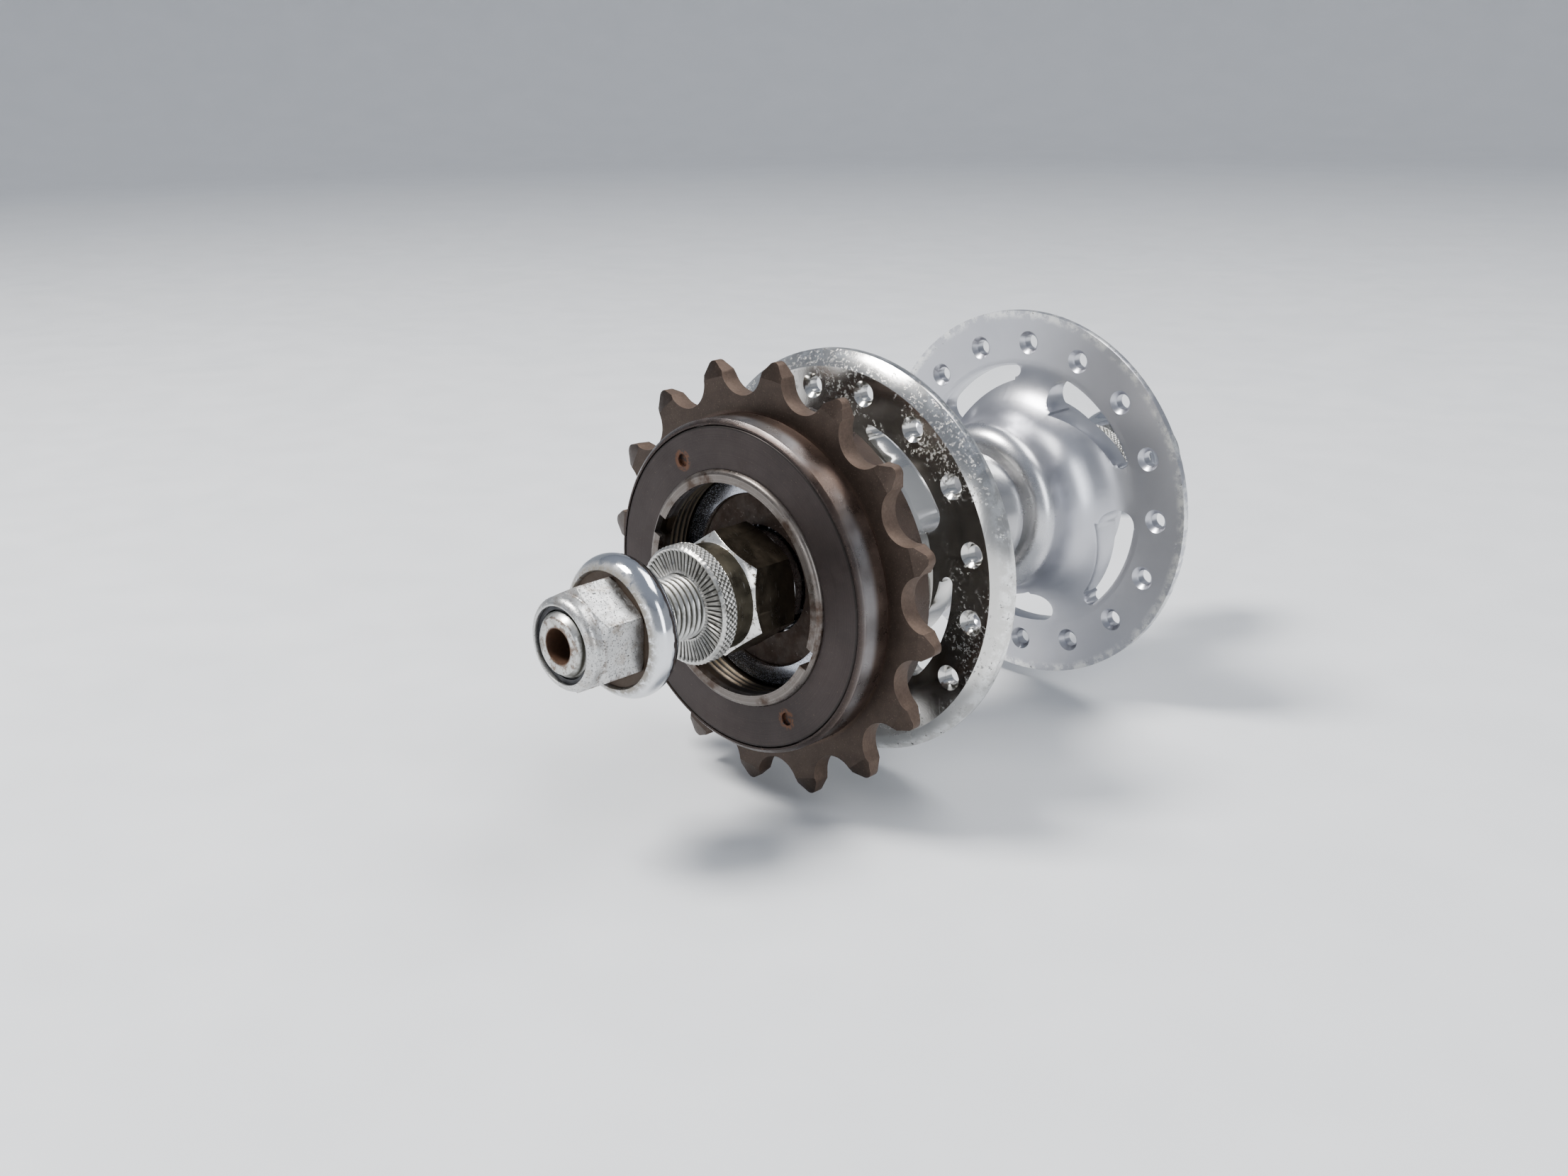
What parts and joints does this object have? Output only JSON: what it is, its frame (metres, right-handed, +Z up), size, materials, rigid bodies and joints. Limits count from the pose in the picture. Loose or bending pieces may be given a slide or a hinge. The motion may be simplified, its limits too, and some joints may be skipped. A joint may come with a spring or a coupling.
{
  "type": "bicycle rear hub with freewheel",
  "caption": "High-flange rear bicycle hub on a nutted hollow axle, with a screwed-on freewheel and chain sprocket that drives one way.",
  "frame": {"origin": "on the axle's axis, 55 mm inside the outer face of the chain-side locknut", "axes": "+Y along the axle away from the chain side, +X forward, +Z up"},
  "size_m": [0.0684, 0.152, 0.0684],
  "materials": {
    "polished_alloy": "polished, lightly scratched",
    "axle_steel": "satin with a rusty bore",
    "zinc_plate": "satin, pitted",
    "chrome_plate": "polished, grimy recess",
    "greasy_steel": "oily",
    "bearing_steel": "polished",
    "rusty_steel": "rusty",
    "browned_steel": "oil-browned with heat tints",
    "dark_insert": "matte"
  },
  "bodies": {
    "axle_set": {"axle": "axle_steel", "right_cone": "bearing_steel", "left_cone": "bearing_steel", "right_hex_spacer": "greasy_steel", "left_spacer": "zinc_plate", "right_locknut": "zinc_plate", "left_locknut": "zinc_plate", "right_dome_washer": "chrome_plate", "left_dome_washer": "chrome_plate", "right_axle_nut": "zinc_plate", "left_axle_nut": "zinc_plate", "right_nut_insert": "dark_insert", "left_nut_insert": "dark_insert"},
    "shell": {"hub_shell": "polished_alloy", "right_cup": "bearing_steel", "left_cup": "bearing_steel", "right_dust_cap": "rusty_steel", "left_dust_cap": "zinc_plate", "freewheel_inner_body": "browned_steel", "freewheel_cover_ring": "browned_steel", "freewheel_shim": "bearing_steel", "pawl_springs": "bearing_steel"},
    "sprocket_body": {"sprocket": "browned_steel"},
    "pawl_a_body": {"pawl_a": "greasy_steel"},
    "pawl_b_body": {"pawl_b": "greasy_steel"},
    "right_ball_set": {"right_hub_balls": "bearing_steel"},
    "left_ball_set": {"left_hub_balls": "bearing_steel"},
    "front_ball_set": {"freewheel_front_balls": "bearing_steel"},
    "rear_ball_set": {"freewheel_rear_balls": "bearing_steel"}
  },
  "joints": [
    {"name": "hub_spin", "type": "hinge", "parent": "axle_set", "child": "shell", "pos_m": [0, 0, 0], "axis": [0, 1, 0], "continuous": true},
    {"name": "freewheel_spin", "type": "hinge", "parent": "shell", "child": "sprocket_body", "pos_m": [0, 0, 0], "axis": [0, 1, 0], "continuous": true},
    {"name": "pawl_a_swing", "type": "hinge", "parent": "shell", "child": "pawl_a_body", "pos_m": [0.01728, -0.0359, 0.00997], "axis": [0, 1, 0], "range_deg": [0, 9]},
    {"name": "pawl_b_swing", "type": "hinge", "parent": "shell", "child": "pawl_b_body", "pos_m": [-0.01728, -0.0359, -0.00997], "axis": [0, 1, 0], "range_deg": [0, 9]},
    {"name": "right_balls_roll", "type": "hinge", "parent": "axle_set", "child": "right_ball_set", "pos_m": [0, 0, 0], "axis": [0, 1, 0], "continuous": true},
    {"name": "left_balls_roll", "type": "hinge", "parent": "axle_set", "child": "left_ball_set", "pos_m": [0, 0, 0], "axis": [0, 1, 0], "continuous": true},
    {"name": "front_balls_roll", "type": "hinge", "parent": "shell", "child": "front_ball_set", "pos_m": [0, 0, 0], "axis": [0, 1, 0], "continuous": true},
    {"name": "rear_balls_roll", "type": "hinge", "parent": "shell", "child": "rear_ball_set", "pos_m": [0, 0, 0], "axis": [0, 1, 0], "continuous": true}
  ],
  "couplings": [
    {"joint": "right_balls_roll", "follows": "hub_spin", "ratio": 0.618},
    {"joint": "left_balls_roll", "follows": "hub_spin", "ratio": 0.618},
    {"joint": "front_balls_roll", "follows": "freewheel_spin", "ratio": 0.5245},
    {"joint": "rear_balls_roll", "follows": "freewheel_spin", "ratio": 0.5245}
  ]
}
